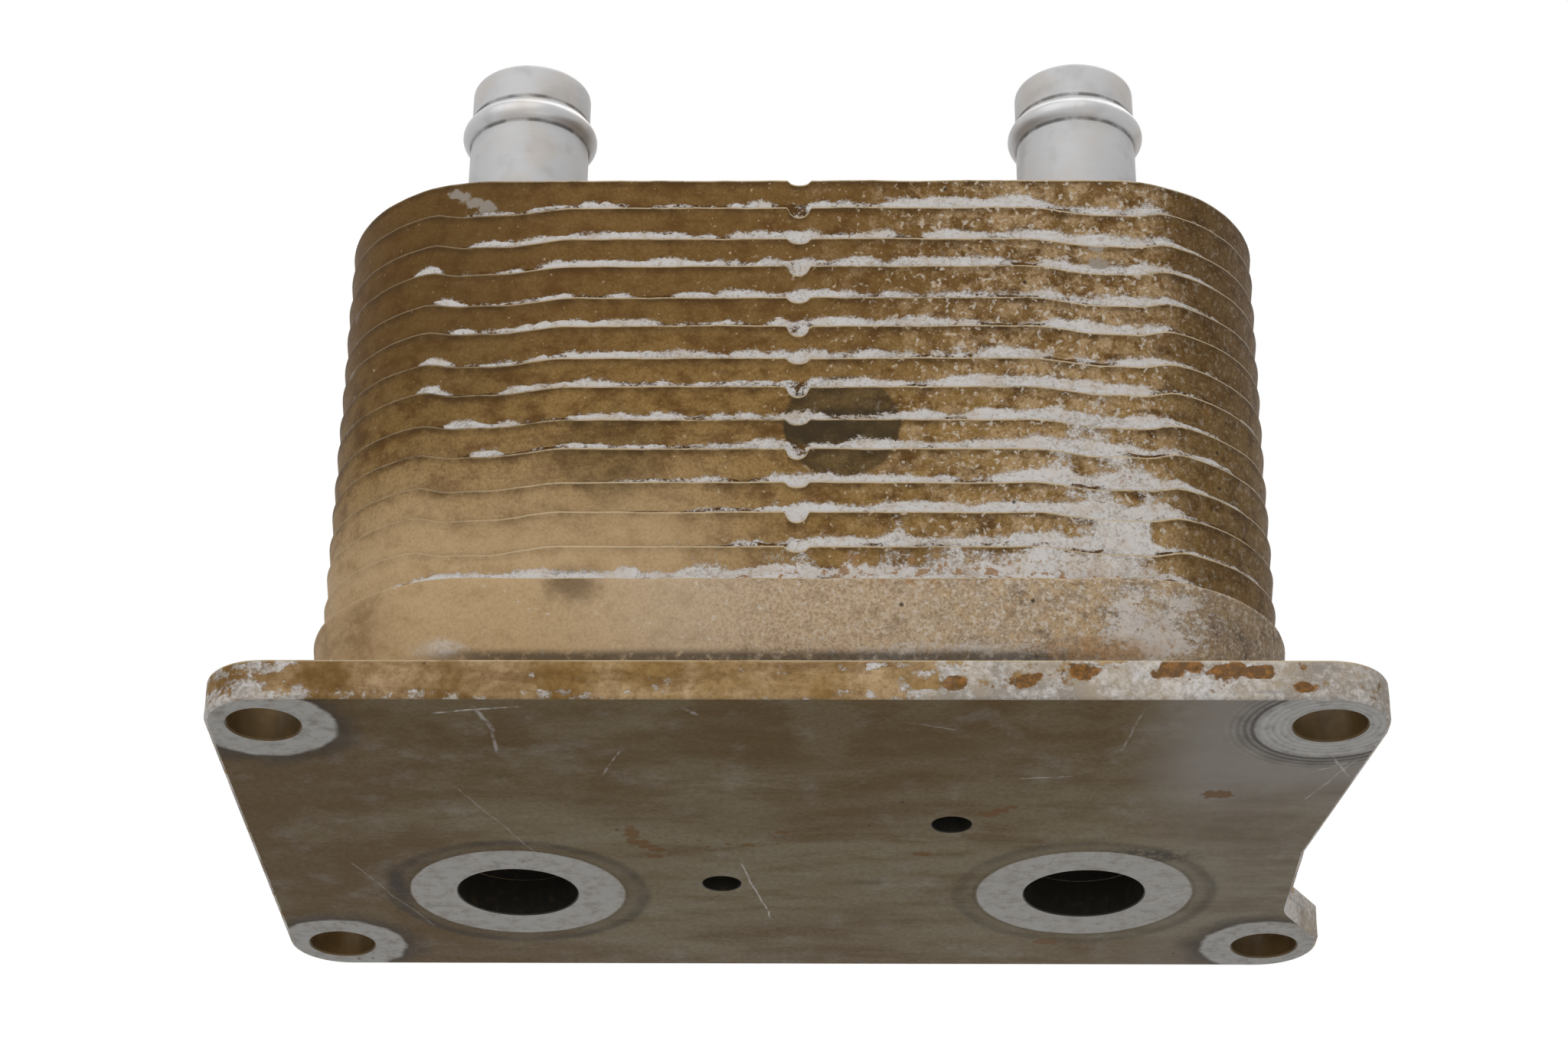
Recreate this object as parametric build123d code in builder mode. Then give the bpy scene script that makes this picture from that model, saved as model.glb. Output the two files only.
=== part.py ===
"""Stacked-plate oil cooler on a mounting flange, with two beaded hose nipples.

The origin is the middle of the flange's mounting face, which lies on z = 0. +Z runs up the stack
towards the nipples, X along the long side, and the nipples stand on the -Y side. Sizes are in
millimetres. Pressed dishes with flared walls nest in each other, and the floors of two
neighbours hold a channel between them: coolant and oil by turns.
"""
import os
from math import atan, cos, degrees, radians, sin

from build123d import *

os.makedirs("parts", exist_ok=True)

# Mounting flange, whose edges lie round its bolts
bolt_pitch_x = 125.0
bolt_pitch_y = 70.0
bolt_hole_diameter = 8.7
bolt_edge_x = 7.0
bolt_edge_y = 7.4
flange_thickness = 5.0
flange_corner_radius = 7.5

# Relief in the flange's right edge: how deep it is, and its stretches between the two ears
relief_depth = 5.4
front_ear_length = 9.8
back_ear_length = 10.1
relief_flat_length = 20.0
relief_return_length = 9.5
relief_bend_radius = 6.0

vent_hole_diameter = 5.0
vent_holes = [(-10.2, 13.4), (19.1, -5.9)]

# Ports: the oil ports open downwards through the flange, the coolant ports upwards
port_pitch_x = 74.0
port_pitch_y = 33.2
oil_port_diameter = 15.7
coolant_port_diameter = 13.4
collar_land = 1.6

# Pressed dishes
dish_length = 118.7
dish_width = 75.8
dish_corner_radius = 20.9
dish_sheet = 0.5
nest_gap = 0.03
coolant_pitch = 4.1
oil_pitch = 4.7
oil_channels = 6
top_floor_sheet = 1.5

# Base tray, pressed from thicker sheet
tray_sheet = 1.5
tray_height = 12.8
tray_bend = 2.0
first_rim_step = 4.6

# Coding notches in the front rims
notch_width = 2.8
deep_notch = 1.4
shallow_notch = 0.7
notch_flank_angle = 60.0

# Hose nipples, with a bead near the end
nipple_diameter = 16.0
nipple_length = 39.1
nipple_end_length = 5.5
bead_diameter = 18.2
bead_upper_flank = 2.0
bead_lower_flank = 1.6
spigot_wall = 0.7
spigot_gap = 0.1

# Corrugated turbulators in the oil channels
fin_sheet = 0.4
fin_waves = 4
fin_side_gap = 1.5

# Sides of the round forms that every dish repeats
corner_sides = 8
port_sides = 8

# Heights of the rims and floors, from the tray upwards
draft_slope = (dish_sheet + nest_gap) / min(coolant_pitch, oil_pitch)
wall_draft = degrees(atan(draft_slope))
channel_pitches = [coolant_pitch, oil_pitch] * oil_channels + [coolant_pitch]
tray_floor = flange_thickness + tray_sheet
tray_rim = flange_thickness + tray_height
first_floor = tray_floor + coolant_pitch - dish_sheet
dish_depth = tray_rim + first_rim_step - first_floor
dish_floors = [first_floor + sum(channel_pitches[1:count + 1]) for count in range(len(channel_pitches))]
top_floor = dish_floors[-1] + top_floor_sheet

# The tray's wall hugs the first dish, so its rim is larger by this much all round
tray_growth = tray_sheet + nest_gap - first_rim_step * draft_slope

port_x = port_pitch_x / 2
port_y = port_pitch_y / 2
oil_ports = [(-port_x, port_y), (port_x, port_y)]
coolant_ports = [(-port_x, -port_y), (port_x, -port_y)]
oil_radius = oil_port_diameter / 2
coolant_radius = coolant_port_diameter / 2
spigot_radius = coolant_radius + spigot_wall


def dish_outline(growth):
    """Corner points of a dish's rim outline, grown by one size all round."""
    corner_x = dish_length / 2 - dish_corner_radius
    corner_y = dish_width / 2 - dish_corner_radius
    radius = dish_corner_radius + growth
    points = []
    for quarter, (side_x, side_y) in enumerate(((1, 1), (-1, 1), (-1, -1), (1, -1))):
        for step in range(corner_sides + 1):
            angle = radians(90 * (quarter + step / corner_sides))
            points.append((side_x * corner_x + radius * cos(angle), side_y * corner_y + radius * sin(angle)))
    return points


def flared_block(bottom, rim, growth):
    """Solid that fills a dish's grown outline at its rim and narrows with the wall's draft below it."""
    with BuildPart() as block:
        with BuildSketch(Plane.XY.offset(bottom)):
            Polygon(*dish_outline(growth), align=None)
        extrude(amount=rim - bottom)
        draft(block.faces().filter_by(Axis.Z, reverse=True), Plane.XY.offset(rim), -wall_draft)
    return block.part


# Mounting flange, with a relief cut into its right edge between the bolt ears
half_length = bolt_pitch_x / 2 + bolt_edge_x
half_width = bolt_pitch_y / 2 + bolt_edge_y
relief_x = half_length - relief_depth
relief_start_y = front_ear_length - half_width
relief_end_y = half_width - back_ear_length
relief_return_y = relief_end_y - relief_return_length
with BuildPart() as mounting_flange:
    with BuildSketch():
        with BuildLine():
            Polyline(
                (-half_length, -half_width),
                (half_length, -half_width),
                (half_length, relief_start_y),
                (relief_x, relief_return_y - relief_flat_length),
                (relief_x, relief_return_y),
                (half_length, relief_end_y),
                (half_length, half_width),
                (-half_length, half_width),
                close=True,
            )
        make_face()
        fillet(vertices().filter_by_position(Axis.Y, relief_start_y, half_width, (True, False)), relief_bend_radius)
        fillet(vertices().group_by(Axis.Y)[0] + vertices().group_by(Axis.Y)[-1], flange_corner_radius)
    extrude(amount=flange_thickness)
    with GridLocations(bolt_pitch_x, bolt_pitch_y, 2, 2):
        Hole(bolt_hole_diameter / 2)
    with Locations(*oil_ports):
        Hole(oil_radius)
    with Locations(*vent_holes):
        Hole(vent_hole_diameter / 2)
mounting_flange.part.label = "mounting_flange"
export_step(mounting_flange.part, "parts/mounting_flange.step")

# Base tray, brazed on the flange, with a collar round each oil port up to the first dish
tray_levels = {
    flange_thickness: tray_growth - tray_height * draft_slope - tray_bend,
    flange_thickness + tray_bend: tray_growth - (tray_height - tray_bend) * draft_slope,
    tray_rim: tray_growth,
}
tray_cavity = flared_block(tray_floor, tray_rim, tray_growth - tray_sheet)
with BuildPart() as base_tray:
    for level, growth in tray_levels.items():
        with BuildSketch(Plane.XY.offset(level)):
            RectangleRounded(dish_length + 2 * growth, dish_width + 2 * growth, dish_corner_radius)
    loft(ruled=True)
    add(tray_cavity, mode=Mode.SUBTRACT)
    with BuildSketch(Plane.XY.offset(tray_floor)):
        with Locations(*oil_ports):
            RegularPolygon(oil_radius + collar_land, port_sides, major_radius=False)
    extrude(amount=first_floor - tray_floor)
    with Locations(*oil_ports):
        Hole(oil_radius)
base_tray.part.label = "base_tray"
export_step(base_tray.part, "parts/base_tray.step")

# Dishes: over an even one runs oil, over an odd one coolant, and over the last one nothing
for number, floor in enumerate(dish_floors, start=2):
    rim = floor + dish_depth
    is_top = floor == dish_floors[-1]
    is_even = number % 2 == 0
    sheet = top_floor_sheet if is_top else dish_sheet
    dish_block = flared_block(floor, rim, 0)
    dish_cavity = flared_block(floor + sheet, rim, -dish_sheet)
    with BuildPart() as dish:
        add(dish_block)
        add(dish_cavity, mode=Mode.SUBTRACT)

        if is_top:
            with Locations(*coolant_ports):
                Hole(spigot_radius + spigot_gap)
        else:
            raised, low = (coolant_ports, oil_ports) if is_even else (oil_ports, coolant_ports)
            raised_radius, low_radius = (coolant_radius, oil_radius) if is_even else (oil_radius, coolant_radius)
            with BuildSketch(Plane.XY.offset(floor)):
                with Locations(*raised):
                    RegularPolygon(raised_radius + collar_land, port_sides)
            extrude(amount=oil_pitch if is_even else coolant_pitch)
            with BuildSketch(Plane.XY.offset(floor)):
                with Locations(*raised):
                    RegularPolygon(raised_radius, port_sides)
                with Locations(*low):
                    RegularPolygon(low_radius, port_sides)
            extrude(amount=dish_depth, mode=Mode.SUBTRACT)

        with BuildSketch(Plane.XZ):
            with Locations((0, rim)):
                notch_depth = shallow_notch if is_even else deep_notch
                Trapezoid(notch_width, notch_depth, notch_flank_angle, rotation=180, align=(Align.CENTER, Align.MIN))
        extrude(amount=dish_width / 2, mode=Mode.SUBTRACT)
    name = "top_dish" if is_top else f"core_dish_{number:02d}"
    dish.part.label = name
    export_step(dish.part, f"parts/{name}.step")

# Turbulators: a corrugated sheet in each oil channel, with its waves along the flow
fin_height = oil_pitch - dish_sheet
fin_length = port_pitch_x - 2 * (coolant_radius + collar_land + fin_side_gap)
fin_width = dish_width - 2 * (dish_depth * draft_slope + dish_sheet + fin_side_gap)
half_wave = (fin_width - fin_sheet) / (2 * fin_waves)
for count in range(oil_channels):
    fin_middle = dish_floors[2 * count] + dish_sheet + fin_height / 2
    with BuildPart() as oil_turbulator:
        with BuildSketch(Plane.YZ):
            with Locations((0, fin_middle)):
                Rectangle(fin_width, fin_height)
            for wave in range(2 * fin_waves):
                lift = fin_sheet / 2 if wave % 2 else -fin_sheet / 2
                with Locations(((wave + 0.5 - fin_waves) * half_wave, fin_middle + lift)):
                    Rectangle(half_wave - fin_sheet, fin_height - fin_sheet, mode=Mode.SUBTRACT)
        extrude(amount=fin_length / 2, both=True)
    oil_turbulator.part.label = f"oil_turbulator_{count + 1}"
    export_step(oil_turbulator.part, f"parts/oil_turbulator_{count + 1}.step")

# Hose nipples, turned with a bead, a shoulder on the top dish and a spigot in its port
nipple_radius = nipple_diameter / 2
nipple_top = top_floor + nipple_length
bead_high = nipple_top - nipple_end_length
bead_middle = bead_high - bead_upper_flank
bead_low = bead_middle - bead_lower_flank
for side, (x, y) in zip(("left", "right"), coolant_ports):
    with BuildPart() as nipple:
        with BuildSketch(Plane(origin=(x, y, 0), x_dir=(1, 0, 0), z_dir=(0, -1, 0))):
            with BuildLine():
                Polyline(
                    (spigot_radius, dish_floors[-1]),
                    (spigot_radius, top_floor),
                    (nipple_radius, top_floor),
                    (nipple_radius, bead_low),
                    (bead_diameter / 2, bead_middle),
                    (nipple_radius, bead_high),
                    (nipple_radius, nipple_top),
                    (coolant_radius, nipple_top),
                    (coolant_radius, dish_floors[-1]),
                    close=True,
                )
            make_face()
        revolve(axis=Axis((x, y, 0), (0, 0, 1)))
    nipple.part.label = f"coolant_nipple_{side}"
    export_step(nipple.part, f"parts/coolant_nipple_{side}.step")
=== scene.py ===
"""Oil cooler: the looks of a stacked-plate cooler that was taken off an engine.

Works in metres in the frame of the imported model, whose origin is the middle of the mounting face.
Each kind of piece has its own operator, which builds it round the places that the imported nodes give.
"""
from math import atan2, cos, pi, radians, sin, tan

import bmesh
import bpy
from mathutils import Matrix, Vector, noise


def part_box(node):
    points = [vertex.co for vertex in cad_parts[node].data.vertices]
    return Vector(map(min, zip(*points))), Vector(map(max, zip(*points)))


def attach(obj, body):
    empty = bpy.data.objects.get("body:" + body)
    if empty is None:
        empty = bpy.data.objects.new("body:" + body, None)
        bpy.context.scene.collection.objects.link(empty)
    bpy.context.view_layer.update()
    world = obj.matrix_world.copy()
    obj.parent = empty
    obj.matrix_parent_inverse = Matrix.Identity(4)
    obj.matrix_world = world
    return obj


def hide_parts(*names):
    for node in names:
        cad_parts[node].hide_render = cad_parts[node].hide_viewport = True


bl_info = {
    "name": "Oil cooler",
    "version": (1, 0, 0),
    "blender": (4, 5, 0),
    "location": "View3D > Sidebar > Oil cooler",
    "description": "Builds a used stacked-plate oil cooler around its packed model",
    "category": "Object",
}

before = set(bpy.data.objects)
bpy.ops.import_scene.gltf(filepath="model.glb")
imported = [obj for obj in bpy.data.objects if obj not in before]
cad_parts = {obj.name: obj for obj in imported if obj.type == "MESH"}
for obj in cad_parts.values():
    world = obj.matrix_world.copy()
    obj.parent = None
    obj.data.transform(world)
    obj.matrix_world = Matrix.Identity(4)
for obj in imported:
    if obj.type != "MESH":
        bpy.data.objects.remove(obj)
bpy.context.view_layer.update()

MM = 0.001
DISHES = ["base_tray"] + [f"core_dish_{number:02d}" for number in range(2, 14)] + ["top_dish"]
TURBULATORS = [f"oil_turbulator_{number}" for number in range(1, 7)]

# Where the residue on a seam starts and where it is full, in millimetres along X: by the number of its rim, and
# for the rims above those
RESIDUE_STARTS = {1: (-54, -46), 2: (-26, 6), 3: (-28, 2), 4: (-34, -10), 5: (-40, -26)}
HIGHER_RESIDUE_START = (-48, -32)

# Blobs of residue on the left of the front seams: rim, middle and reach in millimetres along X
RESIDUE_BLOBS = (
    (12, -39, 4), (11, -47, 2.5), (10, -44, 3), (9, -42, 2),
    (8, -45, 2.6), (7, -45.5, 2.4), (6, -41, 3.4), (5, -38, 3),
)

# Pale blobs by the front rims: x, z and reach in millimetres
RIM_BLOBS = (
    (-43.9, 73.6, 1.0), (-42.6, 72.9, 0.9), (-41.2, 72.1, 0.9), (-39.6, 71.4, 1.1), (37.3, 65, 0.9), (37.6, 62.6, 1.2),
)

# Painted highlights at the left front corner: y, z and reach in millimetres
CORNER_GLINTS = (
    (-26.2, 61.6, 0.9), (-27.4, 57.8, 0.6), (-25.8, 53.2, 1.1), (-26.9, 49.4, 0.5), (-26.4, 44.8, 0.8),
)

# Rust on the flange's front edge: x, z and reach in millimetres
EDGE_RUST = (
    (33.3, 3.4, 1.8), (43.6, 3.6, 2.0), (45.5, 4.2, 1.6), (50.2, 3.6, 2.0),
    (53.6, 3.4, 1.6), (58.6, 1.4, 1.2), (26.5, 2.4, 1.6), (18.5, 2.0, 1.4),
)

# Rust on the mounting face: x, y and reach in millimetres
FACE_RUST = (
    (-20.3, -0.2, 0.8), (-19.2, 1.2, 0.7), (-17.9, 2.2, 0.6), (-18.4, 4.3, 0.6), (51.2, -15.3, 1.1), (23.6, -9.2, 0.8),
    (25.0, -10.3, 0.7), (26.3, -11.2, 0.5), (-6.5, 0.6, 0.5), (-2.0, -3.4, 0.5), (15.6, 3.4, 0.7), (33.0, 33.6, 1.0),
)

# Scratches on the mounting face: start, end and width in millimetres, and strength
SCRATCHES = (
    ((-42.6, -38.2), (-31.2, -40.2), 0.3, 0.8), ((-37.6, -40.6), (-35.3, -33.0), 0.4, 0.55),
    ((-35.6, -33.8), (-35.9, -26.8), 0.3, 0.5), ((-7.6, 6.2), (-4.0, 25.4), 0.2, 0.75),
    ((67.0, -26.0), (61.8, -13.0), 0.22, 0.4), ((63.4, -27.2), (66.8, -20.0), 0.25, 0.6),
    ((60.2, -21.0), (66.6, -25.0), 0.2, 0.6), ((-23.8, -20.4), (-21.0, -28.4), 0.2, 0.45),
    ((40.6, -39.8), (38.4, -27.5), 0.16, 0.4), ((-33.0, 5.0), (-42.0, -18.0), 0.16, 0.3),
    ((44.4, 21.2), (50.6, 15.4), 0.16, 0.6), ((26.5, -19.6), (34.0, -20.8), 0.25, 0.5),
    ((-49, 29), (-58, 6), 0.16, 0.3), ((12, -36), (20, -33.5), 0.2, 0.35), ((-13.5, -40), (-11.2, -37.4), 0.5, 0.5),
)

# Pits on the mounting face: spacing, radius and shift in millimetres
PITS = (5.2, 0.34, 3)

# Levels in millimetres of the grooves on either side of a nipple's bead, and of the bead's middle
UPPER_GROOVE, LOWER_GROOVE, BEAD_MIDDLE = 98.15, 94.25, 96.2

# Gap between the walls of two nested dishes, where the braze is
NEST_GAP = 0.03 * MM

# Height above or below a rim that points away from the outer wall hold, so that no seam shows there
FAR_FROM_RIM = 20 * MM

# Right edge of the flange: its two ears, and where the relief's flat starts and ends before the back ear
FRONT_EAR, BACK_EAR = 9.8 * MM, 10.1 * MM
FLAT_START, FLAT_END = 29.5 * MM, 9.5 * MM
EAR_BEND = 0.8 * MM

# Wall of a nipple's spigot, and how far the hole for it in the top dish stands out from the port
SPIGOT_WALL, SPIGOT_HOLE = 0.7 * MM, 0.8 * MM

# Places of the two small holes in the flange
VENTS = ((-10.2 * MM, 13.4 * MM), (19.1 * MM, -5.9 * MM))

# Rows of points down the inside of a dish's wall and round its inner bend, and points across a seam
INNER_WALL_ROWS, INNER_BEND_ROWS = 3, 4
SEAM_POINTS = 7

# Width of the camera's sensor in millimetres, and how large the floor is in metres from its middle
SENSOR_WIDTH = 36
FLOOR_REACH = 1.5


def screen_colour(red, green, blue):
    """A colour given by its screen values from 0 to 255, as the linear values that Blender keeps."""
    shares = (value / 255 for value in (red, green, blue))
    return tuple(share / 12.92 if share <= 0.04045 else ((share + 0.055) / 1.055) ** 2.4 for share in shares)


def length(name, value, description):
    """A size in metres, written here in millimetres."""
    return bpy.props.FloatProperty(
        name=name, description=description, default=value * MM, subtype="DISTANCE", unit="LENGTH", precision=5
    )


def colour(name, screen, description):
    """A colour, written here by its screen values."""
    return bpy.props.FloatVectorProperty(
        name=name, description=description, default=screen_colour(*screen), subtype="COLOR", size=3, min=0, max=1
    )


def tilt(name, value, description):
    """An angle, written here in degrees."""
    return bpy.props.FloatProperty(
        name=name, description=description, default=radians(value), subtype="ANGLE", unit="ROTATION"
    )


def watts(name, value, description):
    """Power of a lamp, in watts."""
    return bpy.props.FloatProperty(
        name=name, description=description, default=value, min=0, subtype="POWER", unit="POWER"
    )


class CoolerSizes(bpy.types.PropertyGroup):
    """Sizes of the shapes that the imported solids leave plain."""

    port_pitch_x: length("Port pitch X", 74, "Between the two oil ports, and between the two coolant ports")
    port_pitch_y: length("Port pitch Y", 33.2, "Between the oil ports and the coolant ports")
    oil_port: length("Oil port", 15.7, "Diameter of an oil port")
    coolant_port: length("Coolant port", 13.4, "Diameter of a coolant port")
    collar_wall: length("Collar wall", 1.6, "Width of the ring round a port between two dishes")
    dish_length: length("Dish length", 118.7, "Length of a dish at its rim")
    dish_width: length("Dish width", 75.8, "Width of a dish at its rim")
    dish_corner: length("Dish corner", 20.9, "Corner radius of a dish at its rim")
    dish_sheet: length("Dish sheet", 0.5, "Thickness of a dish's sheet")
    dish_bend: length("Dish bend", 1.6, "Radius between a dish's floor and wall")
    top_floor_sheet: length("Top floor sheet", 1.5, "Thickness of the top dish's floor")
    tray_sheet: length("Tray sheet", 1.5, "Thickness of the tray's sheet")
    tray_bend: length("Tray bend", 2.8, "Radius between the tray's floor and wall")
    tray_growth: length("Tray growth", 0.935, "How far the tray's rim stands out from a dish's rim")
    wave_depth: length("Wave depth", 1.1, "How far a rim sinks near each end of a long side")
    wave_start: length("Wave start", 28, "Where a rim starts to sink, from the middle")
    wave_low: length("Wave low", 38, "Where a rim is lowest, from the middle")
    wave_rise: length("Wave rise", 42, "Where a rim starts to rise again, from the middle")
    wave_end: length("Wave end", 47, "Where a rim is level again, from the middle")
    notch_width: length("Notch width", 2.8, "Width of the notch in the middle of a front rim")
    deep_notch: length("Deep notch", 1.4, "Depth of the notch in an odd rim")
    shallow_notch: length("Shallow notch", 0.7, "Depth of the notch in an even rim")
    unevenness: length("Unevenness", 0.11, "How far pressed walls and rims wander")
    braze_height: length("Braze height", 0.95, "How far braze and residue climb above a rim")
    bolt_pitch_x: length("Bolt pitch X", 125, "Between the bolt holes along the flange")
    bolt_pitch_y: length("Bolt pitch Y", 70, "Between the bolt holes across the flange")
    bolt_hole: length("Bolt hole", 8.7, "Diameter of a bolt hole")
    vent_hole: length("Vent hole", 5, "Diameter of a small hole in the flange")
    flange_corner: length("Flange corner", 7.5, "Corner radius of the flange")
    relief_depth: length("Relief depth", 5.4, "Depth of the relief in the flange's right edge")
    relief_bend: length("Relief bend", 6, "Radius of the bends in the relief")
    edge_round: length("Edge round", 0.45, "Rounding of the flange's edges")
    nipple: length("Nipple", 16, "Diameter of a nipple's tube")
    nipple_end: length("Nipple end", 5.5, "Length of tube beyond the bead")
    bead: length("Bead", 18.2, "Diameter of a nipple's bead")
    bead_length: length("Bead length", 3.6, "Length of a nipple's bead")


class CoolerColours(bpy.types.PropertyGroup):
    """Colours of the metal, of what the brazing furnace left on it and of its stains."""

    silver: colour("Silver", (199, 199, 200), "Clean matte aluminium of the nipples")
    silver_dark: colour("Silver dark", (140, 138, 134), "Smudges on the nipples")
    bare: colour("Bare", (164, 161, 156), "Bare machined aluminium under bolts and seals")
    underside: colour("Underside", (119, 107, 83), "Stained mounting face")
    underside_dark: colour("Underside dark", (92, 72, 42), "Darker clouds on the mounting face")
    # Soot also paints the shade in the nipples' grooves and along the tray's foot
    soot_and_shade: colour("Soot", (50, 44, 37), "Black marks and pits")
    stain: colour("Stain", (60, 49, 32), "Round stains on the front")
    tan: colour("Tan", (188, 160, 122), "Smooth stained wall, lower left")
    gold: colour("Gold", (147, 117, 69), "Furnace film on the walls")
    brown: colour("Brown", (97, 67, 31), "Thicker film on the walls")
    # Shade is the painted shade just below each rim; it also darkens the film on the upper left, at the right corner
    # and in mottles
    shade: colour("Shade", (62, 44, 21), "Film just below a rim")
    # Rim is also the painted highlight along each rim's lip and along the flange's top edge; elsewhere it tints
    # specks, flecks and crust
    rim: colour("Rim", (194, 174, 142), "Pale edge of a rim")
    residue: colour("Residue", (150, 141, 130), "Flux residue on the seams")
    chalk: colour("Chalk", (210, 206, 203), "White patches on the right")
    rust: colour("Rust", (152, 103, 48), "Rust spots")
    # Oil is the dark film in the holes; at full strength it is also painted shade inside the ports and on the dishes'
    # inner floors and collars
    oil: colour("Oil", (40, 38, 33), "Oil film in the ports")
    floor: colour("Floor", (236, 235, 232), "Pale floor")


class CoolerStage(bpy.types.PropertyGroup):
    """Camera and light of the photograph."""

    focal_length: bpy.props.FloatProperty(
        name="Focal length", description="Focal length in mm on a sensor 36 mm wide", default=75.81, min=1
    )
    camera_place: bpy.props.FloatVectorProperty(
        name="Camera place", description="Where the camera is", default=(0.00556, -0.38564, -0.16455),
        subtype="TRANSLATION", unit="LENGTH", size=3, precision=5,
    )
    camera_elevation: tilt("Camera elevation", 28.65, "Angle that the camera looks up")
    camera_heading: tilt("Camera heading", 1.168, "Turn of the camera to the left")
    camera_roll: tilt("Camera roll", 0.564, "Roll of the camera")
    sky: bpy.props.FloatProperty(
        name="Sky", description="Strength of the even light from all round", default=0.42, min=0
    )
    front_lamp: watts("Front lamp", 8, "Power of the lamp in front")
    top_lamp: watts("Top lamp", 7, "Power of the lamp above")
    low_lamp: watts("Low lamp", 2.1, "Power of the lamp below")


def smooth(value, low, high):
    """0 below low, 1 above high and a smooth rise between them."""
    share = min(max((value - low) / (high - low), 0), 1)
    return share * share * (3 - 2 * share)


def lumps(point, size):
    """Smooth noise from -1 to 1, with lumps of about the given size."""
    return noise.noise(point / size)


# Shader nodes


def add_node(tree, kind, inputs=None, **settings):
    """Adds a node to a tree, and sets or links its inputs."""
    made = tree.nodes.new(kind)
    for name, value in settings.items():
        setattr(made, name, value)
    for key, value in (inputs or {}).items():
        if isinstance(value, bpy.types.NodeSocket):
            tree.links.new(value, made.inputs[key])
        elif made.inputs[key].type == "RGBA":
            made.inputs[key].default_value = (*value, 1)
        else:
            made.inputs[key].default_value = value
    return made


class Shade:
    """Builds one material. Its methods add a node each and give the socket to go on from."""

    def __init__(self, name):
        self.material = bpy.data.materials.new(name)
        self.material.use_nodes = True
        self.tree = self.material.node_tree
        self.tree.nodes.clear()
        self.base = None
        place = self.node("ShaderNodeTexCoord").outputs["Object"]
        self.place = self.vector("SCALE", place, scale=1 / MM)
        self.x, self.y, self.z = self.node("ShaderNodeSeparateXYZ", {0: self.place}).outputs

    def node(self, kind, inputs=None, **settings):
        """Adds a node to the material."""
        return add_node(self.tree, kind, inputs, **settings)

    def vector(self, operation, first, second=None, scale=None):
        """Vector arithmetic."""
        inputs = {0: first}
        if second is not None:
            inputs[1] = second
        if scale is not None:
            inputs["Scale"] = scale
        made = self.node("ShaderNodeVectorMath", inputs, operation=operation)
        return made.outputs["Value" if operation in ("DISTANCE", "LENGTH") else "Vector"]

    def math(self, operation, first, second=None):
        """Arithmetic on values."""
        inputs = {0: first} if second is None else {0: first, 1: second}
        return self.node("ShaderNodeMath", inputs, operation=operation).outputs[0]

    def chain(self, operation, values):
        """One operation on several values, from the first to the last."""
        result = values[0]
        for value in values[1:]:
            result = self.math(operation, result, value)
        return result

    def times(self, *values):
        """Product of several values."""
        return self.chain("MULTIPLY", values)

    def plus(self, *values):
        """Sum of several values."""
        return self.chain("ADD", values)

    def most(self, *values):
        """Largest of several values."""
        return self.chain("MAXIMUM", values)

    def minus(self, first, second):
        """First value less the second."""
        return self.math("SUBTRACT", first, second)

    def away(self, value, level):
        """How far a value is from a level, on either side."""
        return self.math("ABSOLUTE", self.minus(value, level))

    def ramp(self, value, low, high, start=0.0, end=1.0):
        """Smooth change from start at low to end at high."""
        inputs = {"Value": value, "From Min": low, "From Max": high, "To Min": start, "To Max": end}
        return self.node("ShaderNodeMapRange", inputs, interpolation_type="SMOOTHSTEP").outputs["Result"]

    def clouds(self, size, detail=3.0, roughness=0.55, stretch=(1, 1, 1), shift=0.0):
        """Noise from 0 to 1 with clouds of a size in millimetres."""
        place = self.vector("MULTIPLY", self.place, stretch)
        if shift:
            place = self.vector("ADD", place, (shift, shift, shift))
        inputs = {"Vector": place, "Scale": 1 / size, "Detail": detail, "Roughness": roughness}
        return self.node("ShaderNodeTexNoise", inputs).outputs[0]

    def dots(self, spacing, radius, shift=0.0):
        """Mask of separate round dots, strewn at about one spacing."""
        place = self.vector("ADD", self.place, (shift, shift, shift))
        inputs = {"Vector": place, "Scale": 1 / spacing, "Randomness": 1.0}
        distance = self.node("ShaderNodeTexVoronoi", inputs).outputs["Distance"]
        return self.ramp(distance, radius / spacing, 0.4 * radius / spacing)

    def spot(self, centre, inner, outer, wobble=0.0, stretch=(1, 1, 1), size=2.0):
        """Mask that is 1 within inner of a centre and 0 beyond outer, with a ragged edge."""
        middle = tuple(c * s for c, s in zip(centre, stretch))
        distance = self.vector("DISTANCE", self.vector("MULTIPLY", self.place, stretch), middle)
        if wobble:
            ragged = self.math("MULTIPLY_ADD", self.clouds(size, 4.0), 2 * wobble)
            ragged.node.inputs[2].default_value = -wobble
            distance = self.math("ADD", distance, ragged)
        return self.ramp(distance, outer, inner)

    def wavy(self, size, reach):
        """Place moved about by smooth noise, so that what follows it isn't straight."""
        inputs = {"Vector": self.place, "Scale": 1 / size, "Detail": 2.0}
        shift = self.node("ShaderNodeTexNoise", inputs).outputs[1]
        shift = self.vector("MULTIPLY", self.vector("SUBTRACT", shift, (0.5, 0.5, 0.5)), (2 * reach, 2 * reach, 0))
        return self.vector("ADD", self.place, shift)

    def line(self, place, start, end, width):
        """Mask of a thin scratch between two points of the mounting face."""
        start, end = Vector(start), Vector(end)
        run = end - start
        middle = (start + end) / 2
        inputs = {"Vector": place, "Location": (*middle, 0), "Rotation": (0, 0, atan2(run.y, run.x))}
        turned = self.node("ShaderNodeMapping", inputs, vector_type="TEXTURE").outputs[0]
        along, across, _ = self.node("ShaderNodeSeparateXYZ", {0: turned}).outputs
        reach = self.ramp(self.math("ABSOLUTE", along), run.length / 2, run.length / 2 - 1.5)
        return self.times(reach, self.ramp(self.math("ABSOLUTE", across), width, width / 5))

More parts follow.
